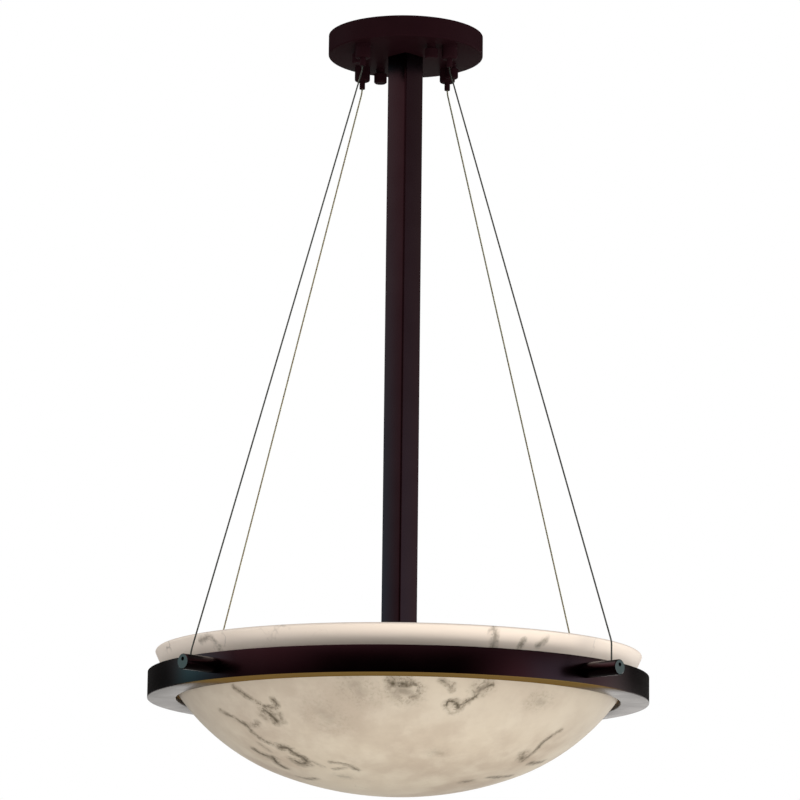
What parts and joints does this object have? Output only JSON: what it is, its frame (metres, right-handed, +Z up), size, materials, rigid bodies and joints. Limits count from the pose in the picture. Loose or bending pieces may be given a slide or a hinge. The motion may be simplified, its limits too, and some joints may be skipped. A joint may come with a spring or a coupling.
{
  "type": "bowl pendant light",
  "caption": "Ceiling light: a veined alabaster bowl sits in a bronze ring that hangs on four steel cables round a square stem below a round canopy.",
  "frame": {"origin": "centre of the ceiling plate's top face, on the ceiling", "axes": "+Z up along the stem; -Y towards the picture's camera, +X to its right; the stem's flats, cables, pins and lamps stand at 45 degrees to X and Y"},
  "size_m": [0.472, 0.472, 0.7377],
  "materials": {
    "bronze": "gloss dark bronze",
    "bronze_turned": "satin dark bronze",
    "zinc_steel": "zinc plated",
    "cable_steel": "stranded steel",
    "alabaster": "honed alabaster with grey brown veins",
    "gasket_rubber": "soft amber silicone",
    "lamp_glass": "frosted white",
    "lamp_cap_metal": "pressed screw cap",
    "socket_porcelain": "glazed white",
    "brass": "turned",
    "hub_white": "white reflector enamel"
  },
  "bodies": {
    "fixture": {"bowl_gasket": "gasket_rubber", "cable_1": "cable_steel", "cable_2": "cable_steel", "cable_3": "cable_steel", "cable_4": "cable_steel", "cable_ferrules": "zinc_steel", "cable_pin_1": "bronze_turned", "cable_pin_2": "bronze_turned", "cable_pin_3": "bronze_turned", "cable_pin_4": "bronze_turned", "canopy": "bronze", "ceiling_plate": "zinc_steel", "gripper_body_1": "bronze_turned", "gripper_body_2": "bronze_turned", "gripper_body_3": "bronze_turned", "gripper_body_4": "bronze_turned", "gripper_lock_nuts": "zinc_steel", "hub_cover": "hub_white", "hub_lock_nut": "zinc_steel", "hub_nipple": "brass", "lamp_socket_1": "socket_porcelain", "lamp_socket_2": "socket_porcelain", "lamp_socket_3": "socket_porcelain", "lamp_socket_4": "socket_porcelain", "pin_screws": "zinc_steel", "pin_set_screws": "zinc_steel", "plate_studs": "zinc_steel", "ring": "bronze", "socket_contacts": "brass", "socket_hub": "hub_white", "socket_lock_nuts": "zinc_steel", "stem": "bronze", "stem_bottom_plug": "zinc_steel", "stem_top_plug": "zinc_steel", "top_lock_nut": "zinc_steel", "top_nipple": "brass"},
    "thumb_nut_1": {"thumb_nut_1": "bronze_turned"},
    "gripper_plunger_1": {"gripper_plunger_1": "bronze_turned"},
    "lamp_1": {"lamp_glass_1": "lamp_glass", "lamp_cap_1": "lamp_cap_metal"},
    "thumb_nut_2": {"thumb_nut_2": "bronze_turned"},
    "gripper_plunger_2": {"gripper_plunger_2": "bronze_turned"},
    "lamp_2": {"lamp_glass_2": "lamp_glass", "lamp_cap_2": "lamp_cap_metal"},
    "thumb_nut_3": {"thumb_nut_3": "bronze_turned"},
    "gripper_plunger_3": {"gripper_plunger_3": "bronze_turned"},
    "lamp_3": {"lamp_glass_3": "lamp_glass", "lamp_cap_3": "lamp_cap_metal"},
    "thumb_nut_4": {"thumb_nut_4": "bronze_turned"},
    "gripper_plunger_4": {"gripper_plunger_4": "bronze_turned"},
    "lamp_4": {"lamp_glass_4": "lamp_glass", "lamp_cap_4": "lamp_cap_metal"},
    "bowl": {"bowl": "alabaster"}
  },
  "joints": [
    {"name": "thumb_nut_1_turn", "type": "hinge", "parent": "fixture", "child": "thumb_nut_1", "pos_m": [0.0456, 0.02394, -0.029], "axis": [0, 0, 1], "continuous": true},
    {"name": "thumb_nut_2_turn", "type": "hinge", "parent": "fixture", "child": "thumb_nut_2", "pos_m": [-0.02394, 0.0456, -0.029], "axis": [0, 0, 1], "continuous": true},
    {"name": "thumb_nut_3_turn", "type": "hinge", "parent": "fixture", "child": "thumb_nut_3", "pos_m": [-0.0456, -0.02394, -0.029], "axis": [0, 0, 1], "continuous": true},
    {"name": "thumb_nut_4_turn", "type": "hinge", "parent": "fixture", "child": "thumb_nut_4", "pos_m": [0.02394, -0.0456, -0.029], "axis": [0, 0, 1], "continuous": true},
    {"name": "gripper_plunger_1_push", "type": "slide", "parent": "fixture", "child": "gripper_plunger_1", "axis": [0, 0, 1], "range_m": [0, 0.0025], "stiffness_N_per_m": 600, "springref_m": -0.003},
    {"name": "gripper_plunger_2_push", "type": "slide", "parent": "fixture", "child": "gripper_plunger_2", "axis": [0, 0, 1], "range_m": [0, 0.0025], "stiffness_N_per_m": 600, "springref_m": -0.003},
    {"name": "gripper_plunger_3_push", "type": "slide", "parent": "fixture", "child": "gripper_plunger_3", "axis": [0, 0, 1], "range_m": [0, 0.0025], "stiffness_N_per_m": 600, "springref_m": -0.003},
    {"name": "gripper_plunger_4_push", "type": "slide", "parent": "fixture", "child": "gripper_plunger_4", "axis": [0, 0, 1], "range_m": [0, 0.0025], "stiffness_N_per_m": 600, "springref_m": -0.003},
    {"name": "lamp_1_turn", "type": "hinge", "parent": "fixture", "child": "lamp_1", "pos_m": [0.04243, 0.04243, -0.643], "axis": [0.7071, 0.7071, 0], "continuous": true},
    {"name": "lamp_2_turn", "type": "hinge", "parent": "fixture", "child": "lamp_2", "pos_m": [-0.04243, 0.04243, -0.643], "axis": [-0.7071, 0.7071, 0], "continuous": true},
    {"name": "lamp_3_turn", "type": "hinge", "parent": "fixture", "child": "lamp_3", "pos_m": [-0.04243, -0.04243, -0.643], "axis": [-0.7071, -0.7071, 0], "continuous": true},
    {"name": "lamp_4_turn", "type": "hinge", "parent": "fixture", "child": "lamp_4", "pos_m": [0.04243, -0.04243, -0.643], "axis": [0.7071, -0.7071, 0], "continuous": true},
    {"name": "bowl_lift", "type": "slide", "parent": "fixture", "child": "bowl", "axis": [0, 0, 1], "range_m": [0, 0.03]}
  ]
}
